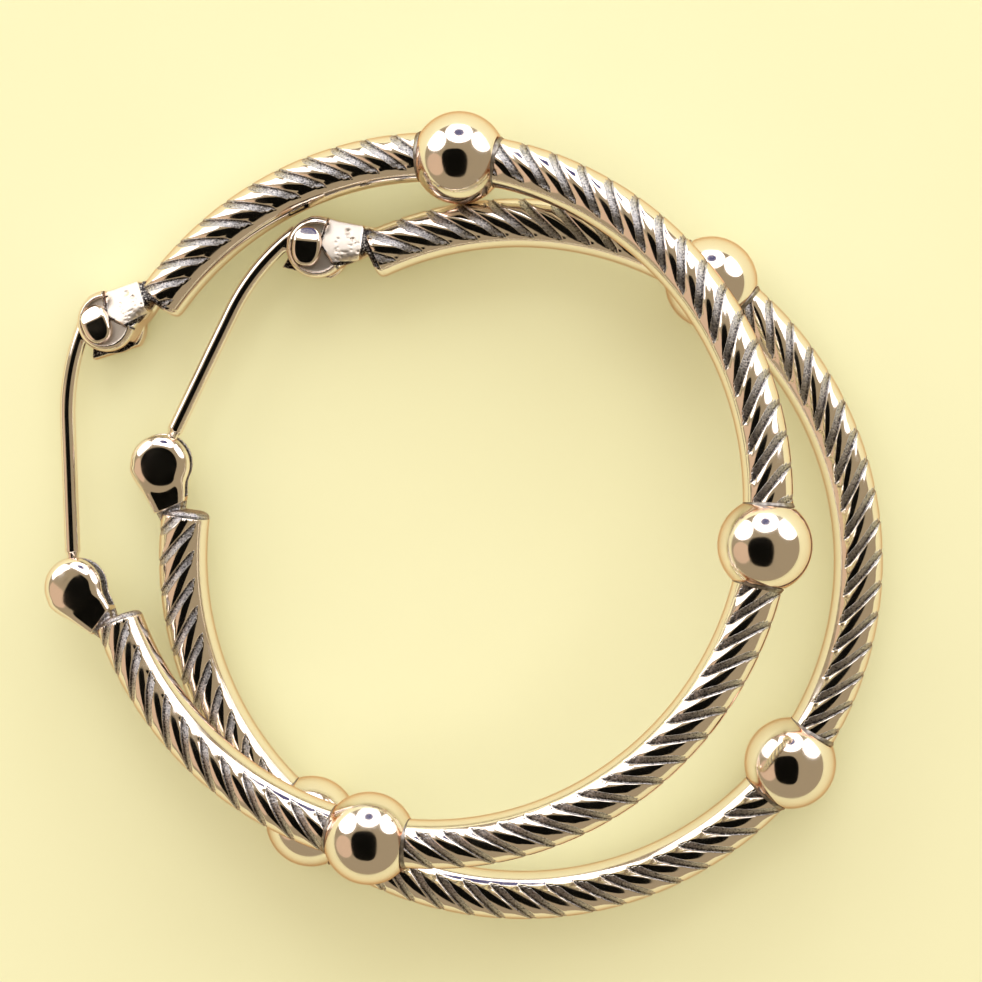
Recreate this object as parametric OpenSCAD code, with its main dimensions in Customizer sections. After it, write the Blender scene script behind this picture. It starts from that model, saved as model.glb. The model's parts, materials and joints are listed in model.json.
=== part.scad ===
// A pair of hinged hoop earrings: rope-engraved tubes with polished beads and hinged ear wires.
// The lower hoop lies flat on its beads. The upper hoop leans on it, and both gaps face -X.
// Millimetres, +Z up, origin on the surface under the middle of the pair.

/* [Hoop] */
// Radius of the tube's centreline
hoop_r = 15.4; // [14:0.1:18]
// Diameter of the rope tube
tube_d = 2.2; // [1.8:0.1:2.4]
// Diameter of a bead
bead_d = 4.16; // [3.6:0.02:4.6]
// Angle from one bead to the next
bead_step = 92; // [85:1:95]
// Angle from the middle bead to each end of the rope
rope_end = 150.8; // [148:0.1:152]

/* [Caps] */
// Radius of a cap's round head
head_r = 1.38; // [1.3:0.02:1.5]
// Distance of the head's middle outside the tube's centreline
head_out = 1.54; // [1.4:0.02:1.7]
// Angle from the middle bead to the head's middle
head_angle = 158.8; // [158:0.1:160]
// Thickness of a cap across its two cheeks
cap_t = 2.1; // [1.9:0.1:2.2]
// Diameter of a cap's neck
neck_w = 1.86; // [1.6:0.02:2]
// Width of the slot between the hinge cap's cheeks
hinge_slot = 0.86; // [0.8:0.02:0.9]
// Width of the slot between the catch cap's cheeks
catch_slot = 0.78; // [0.74:0.02:0.84]
// Depth of the dish in the hinge cap's front cheek
dish_depth = 0.24; // [0.1:0.02:0.3]
// Distance from the head's middle to the raised pad by the neck
pad_edge = 0.56; // [0.5:0.02:0.7]
// Width of the rim around the dish
rim_w = 0.24; // [0.16:0.02:0.3]

/* [Rivet] */
// Diameter of the rivet's shank
rivet_d = 0.6; // [0.5:0.02:0.7]
// Diameter of the rivet's domed front head
rivet_head_d = 1.3; // [1.1:0.05:1.4]
// Height of the front head
rivet_head_h = 0.42; // [0.3:0.02:0.5]
// Diameter of the rivet's back head
rivet_tail_d = 1; // [0.8:0.05:1.2]
// Height of the back head
rivet_tail_h = 0.1; // [0.06:0.02:0.14]
// Distance from the head's middle to the rivet, outwards
rivet_out = 0.26; // [0.2:0.02:0.3]
// Distance from the head's middle to the rivet, towards the gap
rivet_along = 0.3; // [0.2:0.02:0.4]

/* [Ear wire] */
// Diameter of the ear wire
wire_d = 0.7; // [0.6:0.02:0.74]
// Diameter of the flat eye that turns on the rivet
eye_d = 2; // [1.8:0.1:2.2]
// Thickness of the eye
eye_t = 0.6; // [0.5:0.02:0.66]
// Distance of the wire's centreline from the rivet's axis
wire_offset = 0.97; // [0.9:0.01:1]
// Radius of the wire's bent stretch
bend_r = 10; // [9:0.5:12]
// Angle that the bent stretch turns through
bend_angle = 27.2; // [26:0.1:28]
// Angle of the straight stretch to the middle of the gap
wire_slope = 10.2; // [10:0.1:10.6]
// Length of the straight stretch with its round tip
straight_len = 7.6; // [7.2:0.1:7.8]
// Distance from the bent stretch to the middle of the notch that the catch snaps into
notch_at = 6.32; // [6:0.02:6.4]
// Depth of the notch
notch_depth = 0.1; // [0.06:0.01:0.14]
// Radius of the notch's round bottom
notch_r = 0.5; // [0.4:0.05:0.6]

/* [Pair] */
// Middle of the lower hoop
lower_xy = [2.65, -2]; // [-5:0.05:5]
// Direction of the lower hoop's middle bead
lower_turn = -37.6; // [-45:0.1:-30]
// Middle of the upper hoop
upper_xyz = [-1.31, 1.14, 4.49]; // [-2:0.01:5]
// Direction of the upper hoop's middle bead
upper_turn = -8.1; // [-12:0.1:-4]
// Lean of the upper hoop
lean = 10.75; // [10:0.05:11]
// Direction of the upper hoop's low side
lean_to = 142; // [140:0.5:144]

/* [Hidden] */
$fn = 96;
tube_r = tube_d / 2;
bead_r = bead_d / 2;
wire_r = wire_d / 2;
// Half of the angle that a bead takes up between two rope sections
bead_half = asin(sqrt(bead_r * bead_r - tube_r * tube_r) / hoop_r);
// Clearance of the wire's eye on the rivet, and of the rivet in the cheeks
eye_gap = 0.04;
// Length of the smooth collar between the rope and a cap's neck, as an angle
collar = 3.2;
// Sizes larger than the hoop, for cutting away half of space
far = 40;
head = [(hoop_r + head_out) * cos(head_angle), (hoop_r + head_out) * sin(head_angle)];
neck_root = [hoop_r * cos(rope_end), hoop_r * sin(rope_end)];
neck_dir = atan2(head.y - neck_root.y, head.x - neck_root.x);
neck_len = norm(head - neck_root);
rivet = [head.x - rivet_out, head.y - rivet_along];
dish_floor = cap_t / 2 - dish_depth;
slot_r = wire_offset + wire_r + 0.13;
// The bent stretch is a hair thicker than the straight one, so that their round ends don't coincide
bent_wire_r = wire_r + 0.01;
// Angles of the wire's bent stretch about its own middle, from the eye to the straight stretch
bend_start = 180 - (bend_angle - wire_slope);
bend_middle = [
    rivet.x - (bend_r - wire_offset) * cos(bend_start),
    rivet.y - (bend_r - wire_offset) * sin(bend_start)
];
bend_end = [
    bend_middle.x + bend_r * cos(180 + wire_slope),
    bend_middle.y + bend_r * sin(180 + wire_slope)
];
silver = [0.86, 0.85, 0.82];
rope_silver = [0.62, 0.61, 0.6];
rivet_silver = [0.5, 0.5, 0.52];

// Puts a part of a flat hoop where the lower hoop lies
module on_lower() {
    translate([lower_xy.x, lower_xy.y, bead_r])
        rotate([0, 0, lower_turn])
            children();
}

// Puts a part of a flat hoop where the upper hoop leans
module on_upper() {
    translate(upper_xyz)
        rotate(a = lean, v = [cos(lean_to + 90), sin(lean_to + 90), 0])
            rotate([0, 0, upper_turn])
                children();
}

// One stretch of the rope tube between two angles
module rope(from, to) {
    color(rope_silver)
        rotate([0, 0, from])
            rotate_extrude(angle = to - from)
                translate([hoop_r, 0])
                    circle(r = tube_r);
}

// One bead, cut flat where the two rope sections meet it
module bead(at) {
    color(silver)
        rotate([0, 0, at])
            difference() {
                translate([hoop_r, 0, 0])
                    sphere(r = bead_r);
                rotate([0, 0, bead_half])
                    translate([0, 0, -far / 2])
                        cube([far, far, far]);
                rotate([0, 0, -bead_half])
                    translate([0, -far, -far / 2])
                        cube([far, far, far]);
            }
}

// A cap before its slot is cut: a round collar and neck, and a flat round head
module cap_blank() {
    translate([head.x, head.y, -cap_t / 2])
        cylinder(r = head_r, h = cap_t);
    intersection() {
        translate(neck_root)
            rotate([0, 0, neck_dir])
                translate([-neck_w, 0, 0])
                    rotate([0, 90, 0])
                        cylinder(d = neck_w, h = neck_len + neck_w);
        rotate([0, 0, rope_end])
            translate([0, 0, -far / 2])
                cube([far, far, far]);
    }
    rotate([0, 0, rope_end])
        rotate_extrude(angle = collar)
            translate([hoop_r, 0])
                circle(r = tube_r);
}

// The forked cap that holds the rivet, with a rimmed dish and a pad in its front cheek
module hinge_cap() {
    color(silver)
        difference() {
            cap_blank();
            translate([rivet.x, rivet.y, -hinge_slot / 2])
                cylinder(r = slot_r, h = hinge_slot);
            translate([rivet.x, rivet.y, -cap_t])
                cylinder(d = rivet_d + eye_gap / 2, h = 2 * cap_t);
            translate([0, 0, dish_floor])
                linear_extrude(height = dish_depth * 2)
                    dish_outline();
        }
}

// The dish in the front cheek: the head's outline inside the rim, less the raised pad by the neck
module dish_outline() {
    difference() {
        translate(head)
            circle(r = head_r - rim_w);
        translate(neck_root)
            rotate([0, 0, neck_dir])
                translate([neck_len - pad_edge - head_r, -head_r])
                    square([head_r, 2 * head_r]);
    }
}

// The rivet: a plain shank, a high dome in the dish and a low dome behind
module rivet() {
    color(rivet_silver)
        translate([rivet.x, rivet.y, 0]) {
            translate([0, 0, -cap_t / 2])
                cylinder(d = rivet_d, h = cap_t / 2 + dish_floor);
            translate([0, 0, dish_floor])
                dome(rivet_head_d, rivet_head_h);
            translate([0, 0, -cap_t / 2])
                mirror([0, 0, 1])
                    dome(rivet_tail_d, rivet_tail_h);
        }
}

// A shallow dome of diameter d and height h
module dome(d, h) {
    ball_r = (d * d / 4 + h * h) / (2 * h);
    intersection() {
        translate([0, 0, h - ball_r])
            sphere(r = ball_r);
        cylinder(d = 2 * d, h = h);
    }
}

// The ear wire: a flat eye, a bent stretch and a straight stretch with a notch and a round tip
module ear_wire() {
    color(silver)
        difference() {
            union() {
                translate([rivet.x, rivet.y, -eye_t / 2])
                    cylinder(d = eye_d, h = eye_t);
                translate([bend_middle.x, bend_middle.y, 0])
                    rotate([0, 0, bend_start])
                        rotate_extrude(angle = bend_angle)
                            translate([bend_r, 0])
                                circle(r = bent_wire_r);
                translate([bend_end.x, bend_end.y, 0])
                    rotate([90, 0, wire_slope])
                        straight_wire();
            }
            translate([rivet.x, rivet.y, -wire_d])
                cylinder(d = rivet_d + 2 * eye_gap, h = 2 * wire_d);
        }
}

// The straight stretch of the ear wire, along +Z to its round tip
module straight_wire() {
    rotate_extrude()
        difference() {
            intersection() {
                union() {
                    square([wire_r, straight_len - wire_r]);
                    translate([0, straight_len - wire_r])
                        circle(r = wire_r);
                }
                square([wire_r, straight_len]);
            }
            translate([wire_r + notch_r - notch_depth, notch_at])
                circle(r = notch_r);
        }
}

// The forked cap that the wire's tip snaps into, open along the tip's path
module catch_cap() {
    color(silver)
        mirror([0, 1, 0])
            difference() {
                cap_blank();
                translate(neck_root)
                    rotate([0, 0, neck_dir])
                        translate([neck_w / 2, -far / 2, -catch_slot / 2])
                            cube([far, far, catch_slot]);
            }
}

rope_1_from = bead_step + bead_half;
rope_2_from = bead_half;

on_lower() rope(rope_1_from, rope_end);  // lower_rope_1
on_lower() rope(rope_2_from, bead_step - bead_half);  // lower_rope_2
on_lower() rope(bead_half - bead_step, -bead_half);  // lower_rope_3
on_lower() rope(-rope_end, -rope_1_from);  // lower_rope_4
on_lower() bead(bead_step);  // lower_bead_1
on_lower() bead(0);  // lower_bead_2
on_lower() bead(-bead_step);  // lower_bead_3
on_lower() hinge_cap();  // lower_hinge_cap
on_lower() rivet();  // lower_rivet
on_lower() ear_wire();  // lower_ear_wire
on_lower() catch_cap();  // lower_catch_cap
on_upper() rope(rope_1_from, rope_end);  // upper_rope_1
on_upper() rope(rope_2_from, bead_step - bead_half);  // upper_rope_2
on_upper() rope(bead_half - bead_step, -bead_half);  // upper_rope_3
on_upper() rope(-rope_end, -rope_1_from);  // upper_rope_4
on_upper() bead(bead_step);  // upper_bead_1
on_upper() bead(0);  // upper_bead_2
on_upper() bead(-bead_step);  // upper_bead_3
on_upper() hinge_cap();  // upper_hinge_cap
on_upper() rivet();  // upper_rivet
on_upper() ear_wire();  // upper_ear_wire
on_upper() catch_cap();  // upper_catch_cap
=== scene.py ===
"""A pair of hinged hoop earrings: rope-engraved silver tubes with polished beads.

Shapes are written in millimetres in each hoop's own frame: the origin is the hoop's middle, +X points to
its middle bead, +Z is its normal and the hinge is on the +Y side of the gap. Hoop.place takes them to the
scene. The caps and rivets have a frame of their own, which Cap describes.
"""
import json
import math

import bmesh
import bpy
import numpy as np
from mathutils import Matrix, Vector


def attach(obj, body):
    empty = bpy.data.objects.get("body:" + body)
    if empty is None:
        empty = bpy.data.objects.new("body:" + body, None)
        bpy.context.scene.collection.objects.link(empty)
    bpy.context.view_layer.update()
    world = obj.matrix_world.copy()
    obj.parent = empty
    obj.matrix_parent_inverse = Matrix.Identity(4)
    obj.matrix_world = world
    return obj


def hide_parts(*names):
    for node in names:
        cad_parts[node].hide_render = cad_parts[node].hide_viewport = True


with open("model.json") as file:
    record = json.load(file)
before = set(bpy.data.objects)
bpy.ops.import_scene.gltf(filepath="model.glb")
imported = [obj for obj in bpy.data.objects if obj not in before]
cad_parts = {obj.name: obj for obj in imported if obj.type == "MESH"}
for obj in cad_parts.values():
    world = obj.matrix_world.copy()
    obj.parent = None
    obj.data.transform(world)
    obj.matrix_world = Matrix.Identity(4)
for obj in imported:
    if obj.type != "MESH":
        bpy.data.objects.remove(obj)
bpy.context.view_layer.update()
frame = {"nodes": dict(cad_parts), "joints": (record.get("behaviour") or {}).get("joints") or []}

MM = 0.001


# ---------------------------------------------------------------- arithmetic

def unit(v):
    return v / np.linalg.norm(v)


def smooth_min(a, b, k):
    """The lesser of two distances, blended over a width k."""
    h = np.clip(0.5 + 0.5 * (b - a) / k, 0, 1)
    return b + (a - b) * h - k * h * (1 - h)


def smooth_max(a, b, k):
    return -smooth_min(-a, -b, k)


def smooth_step(low, high, value):
    """0 below low, 1 above high and a smooth rise between them."""
    t = np.clip((value - low) / (high - low), 0, 1)
    return t * t * (3 - 2 * t)


# ---------------------------------------------------------------- the hoops' frames

LONG_ROPE_GROOVES = 16


def node_points(node):
    return np.array([v.co for v in frame["nodes"][node].data.vertices], float)


def sphere_through(points):
    """Middle and radius of the sphere that the points lie on."""
    a = np.column_stack([2 * points, np.ones(len(points))])
    x = np.linalg.lstsq(a, (points ** 2).sum(1), rcond=None)[0]
    return x[:3], math.sqrt(x[3] + x[:3] @ x[:3])


def circle_middle(a, b, c):
    """Middle of the circle through three points."""
    ab, ac = b - a, c - a
    n = np.cross(ab, ac)
    return a + (ac @ ac * np.cross(n, ab) + ab @ ab * np.cross(ac, n)) / (2 * n @ n)


class Hoop:
    """One hoop's frame and main sizes, all worked out from its CAD nodes and joint."""

    def __init__(self, name):
        self.name = name
        self.body = name + "_hoop"
        self.wire_body = name + "_wire"
        spheres = [sphere_through(node_points(f"{name}_bead_{i}")) for i in (1, 2, 3)]
        first, middle, last = (s[0] for s in spheres)
        self.origin = circle_middle(first, middle, last)
        x = unit(middle - self.origin)
        z = unit(np.cross(x, first - self.origin))
        self.axes = np.column_stack([x, np.cross(z, x), z])
        self.ring = np.linalg.norm(middle - self.origin) / MM
        self.bead = spheres[1][1] / MM
        rope = self.local(node_points(f"{name}_rope_2"))
        self.tube = np.hypot(np.hypot(rope[:, 0], rope[:, 1]) - self.ring, rope[:, 2]).max()
        # Angle from the middle bead's middle to the rope's end, and the angle that one groove takes up
        self.bead_half = self.angles("rope_2")[0]
        self.pitch = (self.angles("rope_2")[1] - self.bead_half) / LONG_ROPE_GROOVES
        joint = next(j for j in frame["joints"] if j["child"] == self.wire_body)
        self.pivot = self.local(np.array([joint["pos_m"]]))[0][:2]

    def local(self, points):
        """Scene points, in metres, as millimetres in the hoop's frame."""
        return (points - self.origin) @ self.axes / MM

    def place(self, points):
        """The hoop's own millimetres as scene points in metres."""
        return self.origin + np.asarray(points, float) * MM @ self.axes.T

    def angles(self, part):
        """The least and greatest angle round the hoop that a node reaches, in degrees."""
        p = self.local(node_points(f"{self.name}_{part}"))
        a = np.degrees(np.arctan2(p[:, 1], p[:, 0]))
        return a.min(), a.max()

    def bead_angle(self, number):
        p = self.local(node_points(f"{self.name}_bead_{number}")).mean(0)
        return math.degrees(math.atan2(p[1], p[0]))


# ---------------------------------------------------------------- node materials

SILVER = (0.93, 0.86, 0.79)
DULL_SILVER = (0.84, 0.79, 0.75)
# What the metal's reflection is multiplied by near grazing view, which warms the edges of round forms
EDGE_TINT = (0.74, 0.47, 0.33)
# The dark colour on a groove's wall and at its bottom, which is oxidation there; the caps' slots take it as
# painted shade
OXIDE_AND_SHADE = (0.48, 0.47, 0.5)
DEEP_OXIDE_AND_SHADE = (0.03, 0.027, 0.03)
# Painted shade on the collars: a dark satin colour for the shade in the joints beside the beads, and lighter
# where it is worn
COLLAR_SHADE = (0.2, 0.18, 0.17)
COLLAR_SHADE_WORN = (0.5, 0.47, 0.44)
PAPER = (0.93, 0.93, 0.60)
PAPER_DARKER = (0.925, 0.925, 0.59)
PAPER_LIGHTER = (0.94, 0.94, 0.61)
HUB_BLUE = (0.08, 0.08, 0.3)
CARD_BLACK = (0.004, 0.004, 0.005)


class Finish:
    """A material being made: its shader, and the nodes that feed the shader."""

    def __init__(self, name, color, roughness, metallic=1.0):
        self.material = bpy.data.materials.new(name)
        self.material.use_nodes = True
        self.nodes, self.links = self.material.node_tree.nodes, self.material.node_tree.links
        self.inputs = self.nodes["Principled BSDF"].inputs
        self.inputs["Base Color"].default_value = (*color, 1)
        self.inputs["Metallic"].default_value = metallic
        self.inputs["Roughness"].default_value = roughness
        if metallic:
            self.inputs["Specular Tint"].default_value = (*EDGE_TINT, 1)

    def put(self, value, socket):
        """Links a socket to another socket's value, or sets it to a number or colour."""
        if isinstance(value, bpy.types.NodeSocket):
            self.links.new(value, socket)
        else:
            socket.default_value = (*value, 1) if isinstance(value, tuple) else value

    def attribute(self, name):
        """The value of a point attribute of the mesh."""
        node = self.nodes.new("ShaderNodeAttribute")
        node.attribute_name = name
        return node.outputs["Fac"]

    def noise(self, scale, detail, stretch=None):
        """Noise on the object's own coordinates, with scale waves to the metre, stretched if asked."""
        where = self.nodes.new("ShaderNodeTexCoord").outputs["Object"]
        if stretch:
            mapping = self.nodes.new("ShaderNodeMapping")
            mapping.inputs["Scale"].default_value = stretch
            self.links.new(where, mapping.inputs["Vector"])
            where = mapping.outputs["Vector"]
        node = self.nodes.new("ShaderNodeTexNoise")
        node.inputs["Scale"].default_value = scale
        node.inputs["Detail"].default_value = detail
        self.links.new(where, node.inputs["Vector"])
        return node.outputs["Fac"]

    def ramp(self, source, ends, results):
        """Maps the source's values between two ends to two results, clamped."""
        node = self.nodes.new("ShaderNodeMapRange")
        node.inputs["From Min"].default_value, node.inputs["From Max"].default_value = ends
        node.inputs["To Min"].default_value, node.inputs["To Max"].default_value = results
        self.links.new(source, node.inputs["Value"])
        return node.outputs["Result"]

    def maths(self, operation, *values):
        """The result of a mathematical operation on sockets' values and numbers."""
        node = self.nodes.new("ShaderNodeMath")
        node.operation = operation
        for value, socket in zip(values, node.inputs):
            self.put(value, socket)
        return node.outputs["Value"]

    def mix(self, kind, factor, a, b):
        """Mixes two values of one kind, FLOAT or RGBA."""
        node = self.nodes.new("ShaderNodeMix")
        node.data_type = kind
        self.links.new(factor, node.inputs["Factor"])
        self.put(a, node.inputs["A"])
        self.put(b, node.inputs["B"])
        return node.outputs["Result"]

    def bump(self, height, strength, distance, normal=None):
        """A bump up to a distance in metres, on top of another bump if asked."""
        node = self.nodes.new("ShaderNodeBump")
        node.inputs["Strength"].default_value = strength
        node.inputs["Distance"].default_value = distance
        self.links.new(height, node.inputs["Height"])
        if normal:
            self.links.new(normal, node.inputs["Normal"])
        return node.outputs["Normal"]


def polished_silver():
    """Mirror-polished silver with faint haze, fine wear lines and a little waviness."""
    f = Finish("polished_silver", SILVER, 0.07)
    haze = f.noise(900, 4)
    f.put(f.ramp(haze, (0.4, 0.68), (0.08, 0.15)), f.inputs["Roughness"])
    tint = f.ramp(haze, (0.5, 0.75), (0, 0.5))
    f.put(f.mix("RGBA", tint, SILVER, DULL_SILVER), f.inputs["Base Color"])
    waves = f.bump(f.noise(420, 1), 0.25, 0.00008)
    lines = f.noise(5200, 2, (1, 0.12, 0.5))
    f.put(f.bump(lines, 0.12, 0.000006, waves), f.inputs["Normal"])
    return f.material


def engraved_silver():
    """Polished strands with oxidation-darkened, finely pitted grooves, and on the caps painted shade in the
    slots.

    The mesh's point attributes say where: oxide is 1 where the dark colour lies, which is oxidation in the
    grooves and, on the caps, painted shade in the slots; depth is the share of a groove's full depth, on the
    caps following the dark colour, and matte is 1 where bare metal is satin.
    """
    f = Finish("engraved_silver", SILVER, 0.1)
    grain = f.noise(14000, 3)
    haze = f.noise(1100, 3)
    # Grain breaks up the edge of the dark colour, as wear does; that colour is oxidation in the grooves and
    # painted shade in the caps' slots
    edge = f.maths("MULTIPLY_ADD", grain, 0.5, f.attribute("oxide_and_shade"))
    dark = f.ramp(edge, (0.55, 0.85), (0, 1))
    deep = f.ramp(f.attribute("depth"), (0.62, 1.0), (0, 1))
    speckle = f.ramp(grain, (0.5, 0.68), (0, 0.8))
    pocks = f.ramp(grain, (0.36, 0.44), (0.8, 0))
    # The dark colour: oxidation in the grooves, painted shade in the caps' slots
    finish = f.mix("RGBA", deep, OXIDE_AND_SHADE, DEEP_OXIDE_AND_SHADE)
    finish = f.mix("RGBA", speckle, finish, DULL_SILVER)
    finish = f.mix("RGBA", pocks, finish, DEEP_OXIDE_AND_SHADE)
    f.put(f.mix("RGBA", dark, SILVER, finish), f.inputs["Base Color"])
    polish = f.ramp(haze, (0.4, 0.7), (0.08, 0.16))
    rough = f.mix("FLOAT", dark, polish, 0.32)
    f.put(f.mix("FLOAT", f.attribute("matte"), rough, 0.45), f.inputs["Roughness"])
    pits = f.maths("MULTIPLY", dark, grain)
    f.put(f.bump(pits, 0.8, 0.00004), f.inputs["Normal"])
    return f.material


def shaded_collar_silver():
    """Painted shade: a dark satin colour on the collars, for the shade in the joints beside the beads."""
    f = Finish("shaded_collar_silver", COLLAR_SHADE, 0.34)
    grain = f.noise(5000, 2)
    worn = f.ramp(grain, (0.35, 0.75), (0, 1))
    f.put(f.mix("RGBA", worn, COLLAR_SHADE, COLLAR_SHADE_WORN), f.inputs["Base Color"])
    f.put(f.bump(grain, 0.2, 0.00002), f.inputs["Normal"])
    return f.material


def lightless(name, color):
    """A material that mirrors nothing, for what stands in the studio."""
    f = Finish(name, color, 1.0, 0.0)
    f.inputs["Specular IOR Level"].default_value = 0
    return f.material


def floor_paper():
    """Pale cream paper."""
    f = Finish("floor_paper", PAPER, 0.75, 0.0)
    shade = f.ramp(f.noise(60, 4), (0.3, 0.7), (0, 1))
    f.put(f.mix("RGBA", shade, PAPER_DARKER, PAPER_LIGHTER), f.inputs["Base Color"])
    return f.material


# ---------------------------------------------------------------- making pieces

def mesh_object(name, vertices, faces, material, smooth=True):
    """A new mesh object in the scene, with its vertices in metres."""
    mesh = bpy.data.meshes.new(name)
    mesh.from_pydata([tuple(v) for v in vertices], [], [tuple(f) for f in faces])
    mesh.materials.append(material)
    mesh.polygons.foreach_set("use_smooth", [smooth] * len(mesh.polygons))
    mesh.update()
    obj = bpy.data.objects.new(name, mesh)
    bpy.context.scene.collection.objects.link(obj)
    return obj


def recalculate_normals(bm, mesh):
    """Turns every face outwards and hands the bmesh's shape back to the mesh."""
    bmesh.ops.recalc_face_normals(bm, faces=bm.faces)
    bm.to_mesh(mesh)
    bm.free()


def add_attributes(obj, values):
    """Point attributes for the material, by name."""
    for key, numbers in values.items():
        obj.data.attributes.new(key, "FLOAT", "POINT").data.foreach_set("value", numbers)


def finish_piece(obj, body, slot, *nodes):
    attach(obj, body)
    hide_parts(*nodes)


def tube_points(hoop, theta, phi, radius):
    """Points on a round tube about the hoop's centreline; phi is 0 outwards and 90 on top, in degrees."""
    t, f = np.radians(theta), np.radians(phi)
    out = hoop.ring + radius * np.cos(f)
    return np.stack([out * np.cos(t), out * np.sin(t), radius * np.sin(f)], -1)


def lathe(profile, turns, axis_at):
    """Closed mesh of a profile of (along, radius) pairs turned round an axis; axis_at gives its frame."""
    origin, along, side, up = axis_at
    verts, faces = [], []
    for s, r in profile:
        for k in range(turns):
            a = 2 * math.pi * k / turns
            verts.append(origin + along * s + (side * math.cos(a) + up * math.sin(a)) * r)
    for i in range(len(profile) - 1):
        for k in range(turns):
            n = (k + 1) % turns
            faces.append((i * turns + k, i * turns + n, (i + 1) * turns + n, (i + 1) * turns + k))
    last = (len(profile) - 1) * turns
    faces.append(tuple(range(turns))[::-1])
    faces.append(tuple(last + k for k in range(turns)))
    return verts, faces


def tube_axis(hoop, theta):
    """Frame of the hoop's centreline at an angle: its point, its direction, outwards and up."""
    t = math.radians(theta)
    out = np.array([math.cos(t), math.sin(t), 0])
    return hoop.ring * out, np.array([-math.sin(t), math.cos(t), 0]), out, np.array([0, 0, 1.0])


# ---------------------------------------------------------------- rope tubes

# Depths in millimetres: a groove's deepest line, and a strand's far edge below its crown
GROOVE_DEPTH = 0.15
STRAND_CROWN = 0.065
# Angles round the tube, from its outer side: where a groove ends, and over how many degrees it comes up
GROOVE_END = 126
GROOVE_END_FADE = 10
# Share of the full depth on the tube's outer side, and the angles between which it grows to the full depth
OUTER_DEPTH = 0.33
OUTER_FADE = (10, 75)
# Angle round the hoop that a groove runs through between the tube's outer side and its end
GROOVE_RUN = 7.2
# Angle that a rope's end runs on into its cap, past the CAD rope's end
ROPE_RUN_ON = 0.35

# Shares of one groove pitch, counted from a groove's deepest line: the gentle wall's top, the strand's
# crown and its far edge, and every line of the grid
WALL_TOP = 0.37
CROWN_MIDDLE = 0.60
STRAND_END = 0.93
PHASES = (0, 0.03, 0.1, 0.2, 0.29, 0.35, 0.37, 0.40, 0.47, 0.56, 0.65, 0.74, 0.82, 0.89, 0.93, 0.965)
# Steps of the grid round the tube, and how many pitches further along the hoop it closes on itself
ROPE_ROUND = 84
SEAM_SHIFT = 4
# The dark finish keeps this share of a pitch inside the groove, and lies where it is at least this deep
OXIDE_MARGIN = 0.01
OXIDE_FROM = 0.004
# Least share of the full depth that the depth attribute is measured against
LEAST_LIFT = 0.1


def groove_height(phase, phi):
    """The engraved surface's height over the plain tube, and the oxide and depth attributes there."""
    lift = np.clip((GROOVE_END - np.abs(phi)) / GROOVE_END_FADE, 0, 1)
    lift = lift * (OUTER_DEPTH + (1 - OUTER_DEPTH) * smooth_step(*OUTER_FADE, np.abs(phi)))
    strand = -STRAND_CROWN * ((phase - CROWN_MIDDLE) / (STRAND_END - CROWN_MIDDLE)) ** 2
    wall_top = -STRAND_CROWN * ((WALL_TOP - CROWN_MIDDLE) / (STRAND_END - CROWN_MIDDLE)) ** 2
    wall = wall_top - (GROOVE_DEPTH + wall_top) * (1 - phase / WALL_TOP)
    steep = -STRAND_CROWN - (GROOVE_DEPTH - STRAND_CROWN) * (phase - STRAND_END) / (1 - STRAND_END)
    height = np.where(phase < WALL_TOP, wall, np.where(phase < STRAND_END, strand, steep))
    height = np.minimum(0, height + (1 - lift) * GROOVE_DEPTH)
    in_groove = (phase < WALL_TOP - OXIDE_MARGIN) | (phase > STRAND_END + OXIDE_MARGIN)
    oxide_and_shade = np.where(in_groove & (height < -OXIDE_FROM), 1.0, 0.0)
    return height, oxide_and_shade, -height / (GROOVE_DEPTH * np.maximum(lift, LEAST_LIFT))


def groove_drift(phi, half_turn):
    """Angle that a groove has run through at phi: straight as seen from above, then on to the grid's seam."""
    around = np.abs(phi)
    straight = GROOVE_RUN * (1 - np.cos(np.radians(around))) / (1 - math.cos(math.radians(GROOVE_END)))
    rest = GROOVE_RUN + (half_turn - GROOVE_RUN) * (around - GROOVE_END) / (180 - GROOVE_END)
    return np.sign(phi) * np.where(around < GROOVE_END, straight, rest)


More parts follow.
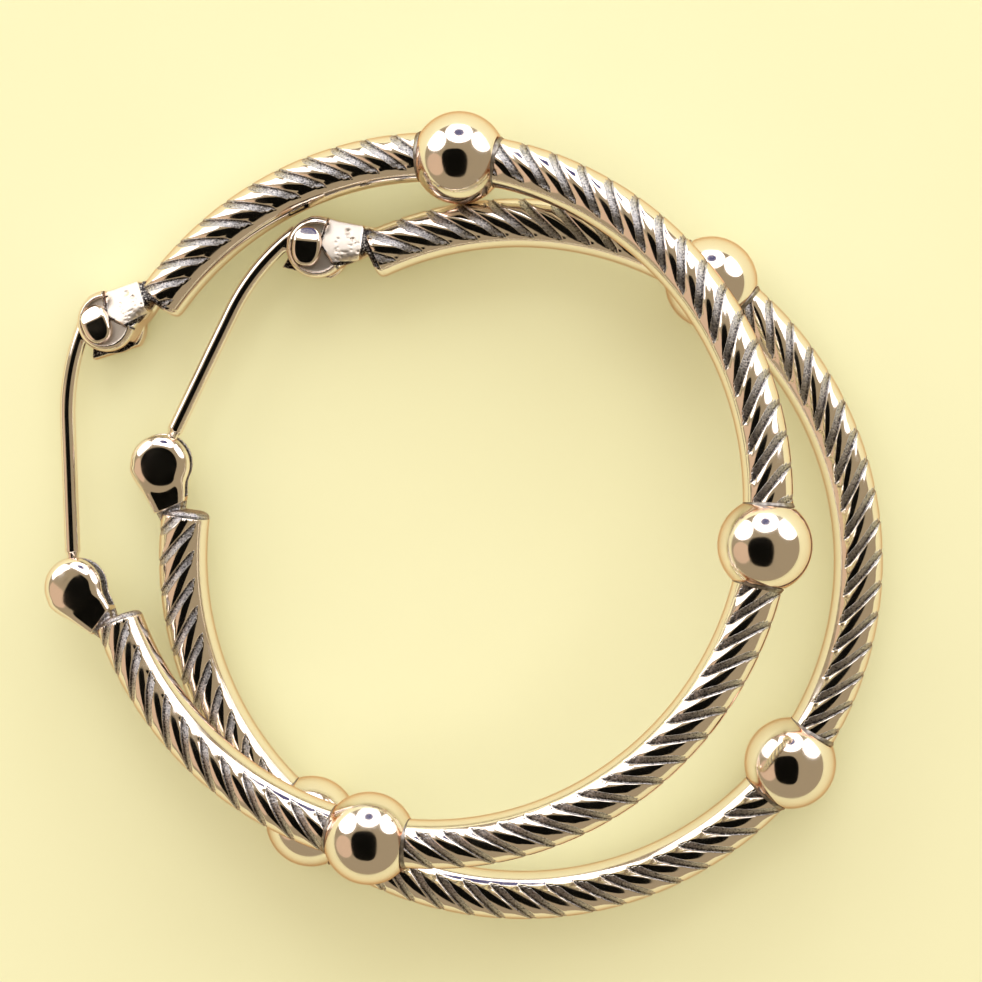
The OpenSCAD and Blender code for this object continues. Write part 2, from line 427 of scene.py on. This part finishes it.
def rope(hoop, number, start_phase, material):
    """One engraved stretch of rope: a grid that runs along the grooves, cut square at both ends."""
    name = f"{hoop.name}_rope_{number}"
    low, high = hoop.angles(f"rope_{number}")
    start = low + start_phase * hoop.pitch
    low -= ROPE_RUN_ON * (number == 4)
    high += ROPE_RUN_ON * (number == 1)
    columns = len(PHASES)
    spare = SEAM_SHIFT // 2 + 2
    last = math.ceil((high - low) / hoop.pitch) + spare
    pitches = np.repeat(np.arange(-spare, last), columns)
    phases = np.tile(PHASES, last + spare)
    phi = -180 + 360 * np.arange(ROPE_ROUND) / ROPE_ROUND
    drift = groove_drift(phi, hoop.pitch * SEAM_SHIFT / 2)
    theta = start + (pitches + phases)[:, None] * hoop.pitch - drift[None]
    height, oxide_and_shade, depth = groove_height(phases[:, None], phi[None])
    points = tube_points(hoop, theta, phi[None], hoop.tube + height)
    index = np.arange(theta.size).reshape(theta.shape)
    # Each step round the tube joins on to the next, and the last one to the first, a seam's shift further on
    shift = SEAM_SHIFT * columns
    pairs = [(index[:, j], index[:, j + 1]) for j in range(ROPE_ROUND - 1)]
    pairs.append((index[shift:, -1], index[:-shift, 0]))
    faces = [np.stack([a[:-1], a[1:], b[1:], b[:-1]], 1) for a, b in pairs]
    obj = mesh_object(name, hoop.place(points.reshape(-1, 3)), np.concatenate(faces), material)
    add_attributes(obj, {"oxide_and_shade": oxide_and_shade.reshape(-1), "depth": depth.reshape(-1)})
    bm = bmesh.new()
    bm.from_mesh(obj.data)
    for angle, side in ((low, -1), (high, 1)):
        middle, along, _, _ = tube_axis(hoop, angle)
        geometry = bm.verts[:] + bm.edges[:] + bm.faces[:]
        plane = Vector(hoop.place([middle])[0])
        normal = Vector(hoop.axes @ (along * side))
        cut = bmesh.ops.bisect_plane(bm, geom=geometry, plane_co=plane, plane_no=normal, clear_outer=True)
        edges = [e for e in cut["geom_cut"] if isinstance(e, bmesh.types.BMEdge)]
        bmesh.ops.holes_fill(bm, edges=edges)
    recalculate_normals(bm, obj.data)
    finish_piece(obj, hoop.body, "engraved_silver", name)


# ---------------------------------------------------------------- beads and their collars

BEAD_ARC = 72
BEAD_TURNS = 96
# A bead's flat ends lie this many degrees beyond the circle where the rope goes in
BEAD_END = 1
COLLAR_TURNS = 72
# A collar's outline from the CAD rope's end, as pairs of millimetres: away from the bead, and outwards
COLLAR_PROFILE = ((-0.12, 1.0), (-0.11, 1.15), (-0.07, 1.175), (-0.03, 1.17), (0.01, 1.145), (0.05, 1.12),
                  (0.1, 1.105), (0.11, 1.0))


def bead(hoop, number, silver, shaded_collar):
    """A polished bead with a thin collar where each rope end meets it, coloured dark as painted shade."""
    name = f"{hoop.name}_bead_{number}"
    angle = hoop.bead_angle(number)
    end = math.degrees(math.asin(hoop.tube / hoop.bead)) + BEAD_END
    arc = np.radians(np.linspace(end, 180 - end, BEAD_ARC))
    profile = [(-hoop.bead * math.cos(a), hoop.bead * math.sin(a)) for a in arc]
    verts, faces = lathe(profile, BEAD_TURNS, tube_axis(hoop, angle))
    ball = mesh_object(name, hoop.place(verts), faces, silver)
    ball.data.polygons[-1].use_smooth = ball.data.polygons[-2].use_smooth = False
    finish_piece(ball, hoop.body, "polished_silver", name)
    for label, side in (("from", -1), ("to", 1)):
        origin, direction, out, up = tube_axis(hoop, angle + side * hoop.bead_half)
        verts, faces = lathe(COLLAR_PROFILE, COLLAR_TURNS, (origin, direction * side, out, up))
        # The collar's dark colour is painted shade for the joint beside the bead
        collar = mesh_object(f"{name}_collar_{label}", hoop.place(verts), faces, shaded_collar)
        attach(collar, hoop.body)


# ---------------------------------------------------------------- smooth forms from distance functions

# How often a net's points are moved onto the surface, the step that its slope is measured over, and the
# least square of a slope that a move is divided by
NET_ROUNDS = 4
NUDGE = 1e-4
LEAST_SLOPE = 0.25


def slab(outline, height, half, edge):
    """Distance to a flat form with rounded edges, from the distance to its outline."""
    q = np.stack([outline + edge, np.abs(height) - half + edge], -1)
    return np.minimum(q.max(-1), 0) + np.linalg.norm(np.maximum(q, 0), axis=-1) - edge


def surface_net(field, low, high, step):
    """Quads over the zero surface of a distance function, with their vertices moved onto it."""
    axes = [np.arange(a, b + step, step) for a, b in zip(low, high)]
    grid = np.stack(np.meshgrid(*axes, indexing="ij"), -1)
    value = field(grid)
    cells = tuple(n - 1 for n in value.shape)
    total = np.zeros((*cells, 3))
    count = np.zeros(cells)
    crossings = []
    for axis in range(3):
        here = [slice(None)] * 3
        there = [slice(None)] * 3
        here[axis], there[axis] = slice(None, -1), slice(1, None)
        a, b = value[tuple(here)], value[tuple(there)]
        at = np.argwhere((a < 0) != (b < 0))
        va, vb = a[tuple(at.T)], b[tuple(at.T)]
        point = grid[tuple(at.T)].copy()
        point[:, axis] += step * va / (va - vb)
        others = [k for k in range(3) if k != axis]
        quad = []
        for da, db in ((0, 0), (1, 0), (1, 1), (0, 1)):
            cell = at.copy()
            cell[:, others[0]] -= da
            cell[:, others[1]] -= db
            np.add.at(total, tuple(cell.T), point)
            np.add.at(count, tuple(cell.T), 1)
            quad.append(cell)
        crossings.append((quad, (va < 0) == (axis != 1)))
    used = np.argwhere(count > 0)
    number = -np.ones(cells, int)
    number[tuple(used.T)] = np.arange(len(used))
    points = total[tuple(used.T)] / count[tuple(used.T)][:, None]
    faces = []
    for quad, flip in crossings:
        f = np.stack([number[tuple(cell.T)] for cell in quad], 1)
        faces.append(np.where(flip[:, None], f[:, ::-1], f))
    for _ in range(NET_ROUNDS):
        nudges = np.eye(3) * NUDGE
        slope = np.stack([(field(points + e) - field(points - e)) / (2 * NUDGE) for e in nudges], -1)
        steepness = np.maximum((slope ** 2).sum(-1, keepdims=True), LEAST_SLOPE)
        move = field(points)[:, None] * slope / steepness
        points = points - np.clip(move, -step / 2, step / 2)
    return points, np.concatenate(faces)


def net_object(name, hoop, to_local, field, low, high, step, material, layers=None):
    """A piece from a distance function in its own coordinates, with point attributes for its material."""
    points, faces = surface_net(field, low, high, step)
    obj = mesh_object(name, hoop.place(to_local(points)), faces, material)
    if layers:
        add_attributes(obj, layers(points))
    bm = bmesh.new()
    bm.from_mesh(obj.data)
    recalculate_normals(bm, obj.data)
    return obj


# ---------------------------------------------------------------- caps, rivet and ear wire

# Sizes from the CAD source, in millimetres and degrees
ROPE_END = 150.8
HEAD_ANGLE = 158.8
HEAD_OUT = 1.54
HEAD_R = 1.38
HALF_T = 1.05
NECK_R = 0.93
NECK_HALF_T = 0.95
NECK_END = 2.85
HINGE_SLOT_HALF = 0.43
CATCH_SLOT_HALF = 0.39
DISH_FLOOR = 0.81
RIVET_R = 0.3
EYE_R = 1.0
EYE_HALF = 0.3
WIRE_R = 0.35
WIRE_OFFSET = 0.97
SLOT_R = WIRE_OFFSET + WIRE_R + 0.13
BEND_R = 10.0
BEND_ANGLE = 27.2
WIRE_SLOPE = 10.2
STRAIGHT = 7.6
NOTCH_AT = 6.32
NOTCH_DEPTH = 0.1
NOTCH_R = 0.5
TAIL_H = 0.1

# The finer shapes' sizes, in millimetres, in the coordinates that the class Cap describes

# The neck's outline: lines given by a point (u, v) and a slope, where it starts, and how round it is
NECK_TOP = (0.0, 1.34, -0.08)
NECK_BOTTOM = ((0.62, -1.2, 0.62), (1.6, -0.66, 0.16))
NECK_START = -0.4
NECK_CORNER = 0.25
NECK_EDGE = 0.42
# The shoulder on the rope's end: how far it stays inside the tube, how much further under the grooves, the
# angles round the tube between which that stops, and its middle, half length and edge along the tube
SHOULDER_INSET = 0.02
SHOULDER_DROP = 0.2
SHOULDER_DROP_ENDS = (112, 128)
SHOULDER_AT = 0.05
SHOULDER_HALF = 0.33
SHOULDER_EDGE = 0.26
# The recess by the rope: where it sets in along u, v and z, where its dark finish does, and its hatched floor
RECESS = ((1.95, 2.03), (-0.66, -0.55), (-0.3, 0.1))
RECESS_DARK = ((1.96, 2.03), (-0.64, -0.56), (-0.2, 0.1))
RECESS_DEPTH = 0.12
HATCH_DEPTH = 0.04
HATCH_PITCH = 0.22
HATCH_ALONG = (0.75, 0.66)
# How round the rims of the hinge cap's and the catch cap's heads are, and how domed the latter's faces are
HINGE_EDGE = 0.42
CATCH_EDGE = 0.6
CATCH_CROWN = 0.14
# The hinge cap's rear cheek: a tapering form from near the head's middle out to a blunt point
CHEEK_FROM_V = -0.2
CHEEK_RUN = np.array([-1.56, -0.86])
CHEEK_R = 1.34
CHEEK_TAPER = 1.28
CHEEK_MIDDLE = -(HALF_T + HINGE_SLOT_HALF) / 2
CHEEK_HALF = (HALF_T - HINGE_SLOT_HALF) / 2
CHEEK_EDGE = 0.08
# Width of the dish's rim
DISH_RIM = 0.26
# The raised pad's border beside the dish, as three corners, and its roundness
PAD_TOP = np.array([0.27, 0.77])
PAD_MIDDLE = np.array([0.13, 0.19])
PAD_LOW = np.array([0.85, -0.62])
PAD_CORNER = 0.12
# How far beyond its border the pad is cut, and what makes its sloping top's height a distance
PAD_BEYOND = 0.02
PAD_TOP_SCALE = 0.9
# The crease under the pad: a half-round channel, with its height, radius, middle and half length
CREASE_Z = 0.86
CREASE_R = 0.10
CREASE_AT = 1.45
CREASE_HALF = 0.62
# The pad's pits, deepest where they are largest, and the notch in its upper edge, as (u, v, size)
PIT_SEED = 4
PIT_COUNT = 36
PIT_SIZES = (0.03, 0.065)
PIT_DEPTH = 0.6
PAD_NOTCH = (1.33, 0.84, 0.13)
# The rivet's dome: its middle from the pivot, its half widths and height, the power that squares its outline,
# and those that flatten its top
DOME_SHIFT = (-0.055, 0.146)
DOME_HALF = (0.68, 0.92)
DOME_HEIGHT = 0.4
DOME_SQUARE = 2.4
DOME_POWERS = (7, 2.2, 1 / 4)
DOME_SCALE = 0.42
# The facet on the dome: where it starts above the pivot, its slope, and what makes its height a distance
FACET_FROM = 0.45
FACET_SLOPE = 0.55
FACET_SCALE = 0.87
# The rivet's shank along z, and its low tail
SHANK_MIDDLE = -0.1
SHANK_HALF = 0.95
TAIL_R = 0.42
TAIL_FLATNESS = 3.6
# The ear wire's eye, with its clearance round the rivet and the width of its blend into the wire
EYE_EDGE = 0.12
EYE_CLEARANCE = 0.04
EYE_BLEND = 0.22


class Cap:
    """Coordinates of one cap: the origin is its head's middle, u runs to the rope, z is the hoop's normal."""

    def __init__(self, hoop, side):
        a, b = math.radians(HEAD_ANGLE), math.radians(ROPE_END)
        reach = hoop.ring + HEAD_OUT
        self.hoop = hoop
        self.side = side
        # Millimetres along the tube's centreline in one degree
        self.degree = math.radians(hoop.ring)
        self.head = np.array([reach * math.cos(a), side * reach * math.sin(a)])
        root = np.array([hoop.ring * math.cos(b), side * hoop.ring * math.sin(b)])
        self.length = np.linalg.norm(root - self.head)
        self.u = (root - self.head) / self.length
        self.v = np.array([-self.u[1], self.u[0]])
        self.pivot_u, self.pivot_v = (hoop.pivot - self.head) @ self.u, (hoop.pivot - self.head) @ self.v

    def to_local(self, p):
        """Cap coordinates as coordinates in the hoop's frame."""
        xy = self.head + p[..., :1] * self.u + p[..., 1:2] * self.v
        return np.concatenate([xy, p[..., 2:]], -1)

    def from_pivot(self, u, v):
        """Distance from the hinge's axis."""
        return np.hypot(u - self.pivot_u, v - self.pivot_v)

    def blank(self, p, edge, crown=0.0):
        """Distance to the head, the neck and a round shoulder on the rope's end, without slot or dish."""
        u, v, z = p[..., 0], p[..., 1], p[..., 2]
        local = self.to_local(p)
        out = np.hypot(local[..., 0], local[..., 1]) - self.hoop.ring
        beyond = (np.degrees(np.arctan2(np.abs(local[..., 1]), local[..., 0])) - ROPE_END) * self.degree
        inner = smooth_step(*SHOULDER_DROP_ENDS, np.degrees(np.arctan2(np.abs(z), out)))
        radius = self.hoop.tube - SHOULDER_INSET - SHOULDER_DROP * (1 - inner)
        shoulder = slab(np.hypot(out, z) - radius, beyond - SHOULDER_AT, SHOULDER_HALF, SHOULDER_EDGE)
        z = z * (1 + crown * (u ** 2 + v ** 2))
        head = slab(np.hypot(u, v) - HEAD_R, z, HALF_T, edge)
        v = v * self.side
        sides = [v - NECK_TOP[1] - (u - NECK_TOP[0]) * NECK_TOP[2], u - NECK_END, NECK_START - u]
        sides += [b + (u - a) * slope - v for a, b, slope in NECK_BOTTOM]
        outline = sides[0]
        for side in sides[1:]:
            outline = smooth_max(outline, side, NECK_CORNER)
        across = u * HATCH_ALONG[0] + v * HATCH_ALONG[1]
        hatch = 0.5 + 0.5 * np.sin(2 * math.pi * across / HATCH_PITCH)
        recess = sets_in(RECESS, u, v, z) * (RECESS_DEPTH + HATCH_DEPTH * hatch)
        neck = slab(outline, z, NECK_HALF_T, NECK_EDGE) + recess
        return smooth_min(smooth_min(head, neck, 0.2), shoulder, 0.12)


def sets_in(ends, u, v, z):
    """A mask that sets in between two ends along u, v and z."""
    return smooth_step(*ends[0], u) * smooth_step(*ends[1], v) * smooth_step(*ends[2], z)


def pad_distance(u, v):
    """Distance to the pad's border beside the dish, negative on the pad."""
    sides = []
    for a, b in ((PAD_TOP, PAD_MIDDLE), (PAD_MIDDLE, PAD_LOW)):
        along = unit(b - a)
        sides.append((u - a[0]) * along[1] - (v - a[1]) * along[0])
    return smooth_max(*sides, PAD_CORNER)


def pad_height(u, v):
    """Height of the pad's sloping, gently crowned top."""
    return 0.95 - 0.30 * v - 0.08 * (u - 1.1) ** 2 - 0.12 * v ** 2


def above_crease(u, v):
    """How far v is above the crease's line."""
    return v + 0.62 - 0.1 * (u - 0.85)


def pad_pits():
    """The pits' places and sizes, with more of them near the recess, and the notch in place of the first."""
    draw = np.random.default_rng(PIT_SEED).uniform
    u = 1.95 - draw(0, 1, PIT_COUNT) ** 1.6 * 1.1
    v = draw(-0.5, 0.6, PIT_COUNT)
    pits = np.stack([u, v, draw(*PIT_SIZES, PIT_COUNT)], 1)
    pits[0] = PAD_NOTCH
    return pits


def hinge_cap(hoop, material):
    """The forked cap: a rimmed dish, a pitted pad, a dark recess by the rope and a pointed rear cheek."""
    cap = Cap(hoop, 1)
    pits = pad_pits()

    def field(p):
        u, v, z = p[..., 0], p[..., 1], p[..., 2]
        d = cap.blank(p, HINGE_EDGE)
        down = v - CHEEK_FROM_V
        t = np.clip((u * CHEEK_RUN[0] + down * CHEEK_RUN[1]) / (CHEEK_RUN @ CHEEK_RUN), 0, 1)
        cone = np.hypot(u - t * CHEEK_RUN[0], down - t * CHEEK_RUN[1]) - (CHEEK_R - CHEEK_TAPER * t)
        d = smooth_min(d, slab(cone, z - CHEEK_MIDDLE, CHEEK_HALF, CHEEK_EDGE), 0.08)
        dish = smooth_max(np.hypot(u, v) - (HEAD_R - DISH_RIM), -pad_distance(u, v), 0.08)
        d = smooth_max(d, -smooth_max(dish, DISH_FLOOR - z, 0.06), 0.05)
        over_pad = (z - pad_height(u, v)) * PAD_TOP_SCALE
        d = smooth_max(d, np.minimum(over_pad, -pad_distance(u, v) - PAD_BEYOND), 0.05)
        crease = np.hypot(above_crease(u, v), z - CREASE_Z) - CREASE_R
        crease = np.maximum(crease, np.abs(u - CREASE_AT) - CREASE_HALF)
        d = smooth_max(d, -crease, 0.05)
        for a, b, size in pits:
            d = d + PIT_DEPTH * size * np.exp(-((u - a) ** 2 + (v - b) ** 2) / size ** 2) * (z > 0.3)
        slot = np.maximum(cap.from_pivot(u, v) - SLOT_R, np.abs(z) - HINGE_SLOT_HALF)
        d = smooth_max(d, -slot, 0.04)
        return smooth_max(d, RIVET_R + 0.01 - cap.from_pivot(u, v), 0.02)

    def layers(p):
        # Dark: the recess, the pad's border, the crease and the slot, whose dark colour is painted shade.
        # Satin: the dish's floor and the pad
        u, v, z = p.T
        pad = pad_distance(u, v)
        recess = sets_in(RECESS_DARK, u, v, z)
        border = (1 - smooth_step(0.0, 0.12, np.abs(pad + PAD_BEYOND))) * (z > 0.6) * (z < 0.96)
        crease = 1 - smooth_step(0.06, 0.13, np.abs(above_crease(u, v)))
        crease = crease * (u > 0.8) * (u < 2.05) * (z > 0.5)
        # Painted shade: the slot between the cheeks is coloured dark for the shade inside it
        slot = (np.abs(z) < HINGE_SLOT_HALF + 0.02) * (cap.from_pivot(u, v) < SLOT_R + 0.03)
        dark = np.clip(np.maximum.reduce([recess, border, crease, slot]), 0, 1)
        dish = (np.abs(z - DISH_FLOOR) < 0.03) * (pad > 0.08)
        top = smooth_step(0.0, 0.08, -pad) * (z > 0.2)
        top = top * (1 - smooth_step(1.92, 1.99, u)) * smooth_step(-0.62, -0.54, v)
        return {"oxide_and_shade": dark, "depth": dark, "matte": np.maximum(dish, top)}

    name = hoop.name + "_hinge_cap"
    low, high = (-1.75, -1.6, -1.2), (3.5, 1.6, 1.2)
    obj = net_object(name, hoop, cap.to_local, field, low, high, 0.04, material, layers)
    finish_piece(obj, hoop.body, "polished_silver", name)


def catch_cap(hoop, material):
    """The forked cap at the other end, with its slot open along the wire tip's path and a softened mouth."""
    cap = Cap(hoop, -1)
    slot_end = cap.length - NECK_R

    def field(p):
        u, z = p[..., 0], p[..., 2]
        d = cap.blank(p, CATCH_EDGE, CATCH_CROWN)
        mouth = CATCH_SLOT_HALF + 0.1 * smooth_step(-0.9, -1.35, u)
        slot = smooth_max(np.abs(z) - mouth, u - slot_end, 0.1)
        return smooth_max(d, -slot, 0.08)

    def layers(p):
        u, _, z = p.T
        # Painted shade: the slot is coloured dark for the shade inside it
        in_slot = (np.abs(z) < CATCH_SLOT_HALF + 0.02) * (u < slot_end + 0.05)
        dark = np.maximum(in_slot, smooth_step(*RECESS_DARK[0], u))
        return {"oxide_and_shade": dark, "depth": dark * 0.7}

    name = hoop.name + "_catch_cap"
    low, high = (-1.6, -1.6, -1.2), (3.5, 1.6, 1.2)
    obj = net_object(name, hoop, cap.to_local, field, low, high, 0.045, material, layers)
    finish_piece(obj, hoop.body, "polished_silver", name)


def rivet(hoop, material):
    """The rivet: an oval polished dome in the dish, a shank and a low tail behind."""
    cap = Cap(hoop, 1)

    def field(p):
        u, v, z = p[..., 0], p[..., 1], p[..., 2]
        over = z - DISH_FLOOR
        du = (u - cap.pivot_u - DOME_SHIFT[0]) / DOME_HALF[0]
        dv = (v - cap.pivot_v - DOME_SHIFT[1]) / DOME_HALF[1]
        across = (np.abs(du) ** DOME_SQUARE + np.abs(dv) ** DOME_SQUARE) ** (1 / DOME_SQUARE)
        flat, steep, root = DOME_POWERS
        round_off = (across ** flat + (np.abs(over) / DOME_HEIGHT) ** steep) ** root
        dome = np.maximum((round_off - 1) * DOME_SCALE, DISH_FLOOR - z)
        facet = (over - DOME_HEIGHT + FACET_SLOPE * (v - cap.pivot_v - FACET_FROM)) * FACET_SCALE
        dome = smooth_max(dome, facet, 0.08)
        shank = np.maximum(cap.from_pivot(u, v) - RIVET_R, np.abs(z - SHANK_MIDDLE) - SHANK_HALF)
        tail = np.hypot(cap.from_pivot(u, v), (z + HALF_T) * TAIL_FLATNESS) - TAIL_R
        return smooth_min(smooth_min(dome, shank, 0.04), np.maximum(tail, -HALF_T - TAIL_H - z), 0.04)

    name = hoop.name + "_rivet"
    low, high = (-1.2, -1.2, -1.3), (0.5, 1.0, 1.3)
    obj = net_object(name, hoop, cap.to_local, field, low, high, 0.035, material)
    finish_piece(obj, hoop.body, "rivet_silver", name)


def ear_wire(hoop, material):
    """The ear wire: a flat eye on the rivet, then a round bent wire with a snap notch near its tip."""
    turn = math.radians(180 - (BEND_ANGLE - WIRE_SLOPE))
    middle = hoop.pivot - (BEND_R - WIRE_OFFSET) * np.array([math.cos(turn), math.sin(turn)])
    close = math.radians(180 + WIRE_SLOPE)
    end = middle + BEND_R * np.array([math.cos(close), math.sin(close)])
    ahead = np.array([-math.sin(close), math.cos(close)])
    sideways = np.array([-ahead[1], ahead[0]])

    def field(p):
        xy, z = p[..., :2], p[..., 2]
        from_pivot = np.linalg.norm(xy - hoop.pivot, axis=-1)
        eye = slab(from_pivot - EYE_R, z, EYE_HALF, EYE_EDGE)
        run = (xy - end) @ ahead
        side = (xy - end) @ sideways
        notch = np.sqrt(np.clip(NOTCH_R ** 2 - (run - NOTCH_AT) ** 2, 0, None)) - NOTCH_R + NOTCH_DEPTH
        radius = WIRE_R - np.clip(notch, 0, None)
        straight = np.sqrt(side ** 2 + z ** 2 + np.clip(run - STRAIGHT + WIRE_R, 0, None) ** 2) - radius
        off = xy - middle
        angle = np.mod(np.arctan2(off[..., 1], off[..., 0]), 2 * math.pi)
        bend = np.hypot(np.linalg.norm(off, axis=-1) - BEND_R, z) - WIRE_R
        bend = np.maximum(bend, BEND_R * (turn - angle))
        wire = np.where(run > 0, straight, bend)
        return smooth_max(smooth_min(eye, wire, EYE_BLEND), RIVET_R + EYE_CLEARANCE - from_pivot, 0.02)

    low = np.array([min(hoop.pivot[0], end[0]) - 1.4, end[1] - STRAIGHT - 0.2, -0.5])
    high = np.array([hoop.pivot[0] + 1.6, hoop.pivot[1] + 1.2, 0.5])
    name = hoop.name + "_ear_wire"
    obj = net_object(name, hoop, lambda p: p, field, low, high, 0.045, material)
    finish_piece(obj, hoop.wire_body, "polished_silver", name)


# ---------------------------------------------------------------- the pair

# Where the first groove's deepest line crosses the tube's outer side, in pitches from each rope's start
GROOVE_STARTS = {
    "lower": {1: 0.5, 2: 0.46, 3: 0.94, 4: 0.5},
    "upper": {1: 0.82, 2: 0.20, 3: 0.90, 4: 0.5},
}

# The collars' material paints the shade in the joints beside the beads
POLISHED, ENGRAVED, SHADED_COLLARS = polished_silver(), engraved_silver(), shaded_collar_silver()

for hoop in [Hoop("lower"), Hoop("upper")]:
    for number, phase in GROOVE_STARTS[hoop.name].items():
        rope(hoop, number, phase, ENGRAVED)
    for number in (1, 2, 3):
        bead(hoop, number, POLISHED, SHADED_COLLARS)
    hinge_cap(hoop, ENGRAVED)
    rivet(hoop, POLISHED)
    ear_wire(hoop, POLISHED)
    catch_cap(hoop, ENGRAVED)


# ---------------------------------------------------------------- floor, camera and lights, in metres

FLOOR_HALF = 1.2

CAMERA_TARGET = Vector((0.00153, 0.00135, 0.003))
CAMERA_DISTANCE = 0.1428
# Azimuth and elevation, in degrees
CAMERA_FROM = (142.99, 83.72)
CAMERA_ROLL = 1.27
CAMERA_LENS = 115.8
CAMERA_SENSOR = 36
CAMERA_CLIP = 0.005

# Where the lamps' light is aimed, and how far off they are
LAMPS_TARGET = Vector((0, 0, 0.003))
LAMP_DISTANCE = 0.7
FILL_DISTANCE = 0.9
# Name, place of its mirror image on a bead in bead radii, size, radiance and colour
LAMPS = (
    ("ring_lamp", (0.0, 0.50), (0.74, 0.74), 2.2, (0.97, 0.98, 1)),
    ("window_left", (-0.47, 0.34), (0.54, 0.68), 1.9, (0.98, 0.98, 1)),
    ("window_right", (0.46, 0.33), (0.54, 0.68), 1.9, (0.98, 0.98, 1)),
    ("warm_bounce", (-0.52, -0.16), (0.6, 0.6), 0.33, (1, 0.6, 0.45)),
)
FILL = ("overhead_fill", (0, 0), (1.6, 1.6), 0.73, (1, 0.98, 0.95))

# The black card by the camera: half its width and height, the power that squares it, and its place from
# the camera
CARD_HALF = (0.138, 0.175)
CARD_SQUARE = 0.6
CARD_POINTS = 64
CARD_SHIFT = (-0.062, -0.098, 0.06)
# The ring lamp's dark middle: its radius, and how far in front of the lamp it is
HUB_R = 0.12
HUB_POINTS = 48
HUB_AHEAD = 0.02

WORLD_COLOR = (1.0, 0.79, 0.50)
WORLD_STRENGTH = 0.38


def direction(azimuth, elevation):
    """Unit vector towards an azimuth and elevation, where azimuth 0 is -Y and 90 is +X."""
    a, e = math.radians(azimuth), math.radians(elevation)
    return Vector((math.sin(a) * math.cos(e), -math.cos(a) * math.cos(e), math.sin(e)))


def turned_from_camera(vector):
    """A vector in the camera's own directions as one in the scene's."""
    return camera.rotation_euler.to_matrix() @ Vector(vector)


def area_light(name, image, size, radiance, color, distance):
    """An oval light whose mirror image is centred at image on a bead, as the camera sees it."""
    across, upwards = image
    toward = math.sqrt(1 - across ** 2 - upwards ** 2)
    bearing = turned_from_camera((2 * across * toward, 2 * upwards * toward, 2 * toward ** 2 - 1))
    data = bpy.data.lights.new(name, "AREA")
    data.shape = "ELLIPSE"
    data.size, data.size_y = size
    data.energy = radiance * math.pi * (size[0] * size[1] * (math.pi / 4))
    data.color = color
    obj = bpy.data.objects.new(name, data)
    bpy.context.scene.collection.objects.link(obj)
    obj.location = bearing * distance
    obj.rotation_euler = (LAMPS_TARGET - obj.location).to_track_quat("-Z", "Y").to_euler()
    return obj


def reflected_card(name, half, power, count, depth, material, location, rotation):
    """A flat oval card that only reflections see, from a circle squared by a power."""
    edge = []
    for a in np.linspace(0, 2 * math.pi, count + 1)[:-1]:
        x, y = math.cos(a), math.sin(a)
        edge.append((math.copysign(abs(x) ** power, x) * half[0],
                     math.copysign(abs(y) ** power, y) * half[1], depth))
    obj = mesh_object(name, edge, [tuple(range(count))], material, smooth=False)
    obj.location, obj.rotation_euler = location, rotation
    obj.visible_camera = obj.visible_diffuse = obj.visible_shadow = False


corners = [(x * FLOOR_HALF, y * FLOOR_HALF, 0) for x, y in ((-1, -1), (1, -1), (1, 1), (-1, 1))]
floor = mesh_object("floor", corners, [(0, 1, 2, 3)], floor_paper(), smooth=False)

camera = bpy.data.objects.new("camera", bpy.data.cameras.new("camera"))
bpy.context.scene.collection.objects.link(camera)
camera.location = CAMERA_TARGET + direction(*CAMERA_FROM) * CAMERA_DISTANCE
look = (CAMERA_TARGET - camera.location).normalized()
right = look.cross(Vector((0, 1, 0))).normalized()
basis = Matrix((right, right.cross(look), -look)).transposed()
camera.rotation_euler = (basis @ Matrix.Rotation(math.radians(-CAMERA_ROLL), 3, "Z")).to_euler()
camera.data.lens = CAMERA_LENS
camera.data.sensor_width = CAMERA_SENSOR
camera.data.clip_start = CAMERA_CLIP
bpy.context.scene.camera = camera

lamps = [area_light(*lamp, LAMP_DISTANCE) for lamp in LAMPS]
fill = area_light(*FILL, FILL_DISTANCE)
fill.visible_glossy = False

reflected_card("dark_card", CARD_HALF, CARD_SQUARE, CARD_POINTS, 0, lightless("dark_card", CARD_BLACK),
               camera.location + turned_from_camera(CARD_SHIFT), camera.rotation_euler)
reflected_card("lamp_hub", (HUB_R, HUB_R), 1, HUB_POINTS, -HUB_AHEAD, lightless("lamp_hub", HUB_BLUE),
               lamps[0].location, lamps[0].rotation_euler)

world = bpy.data.worlds.new("studio")
bpy.context.scene.world = world
world.use_nodes = True
world.node_tree.nodes["Background"].inputs["Color"].default_value = (*WORLD_COLOR, 1)
world.node_tree.nodes["Background"].inputs["Strength"].default_value = WORLD_STRENGTH
bpy.context.scene.view_settings.view_transform = "Standard"
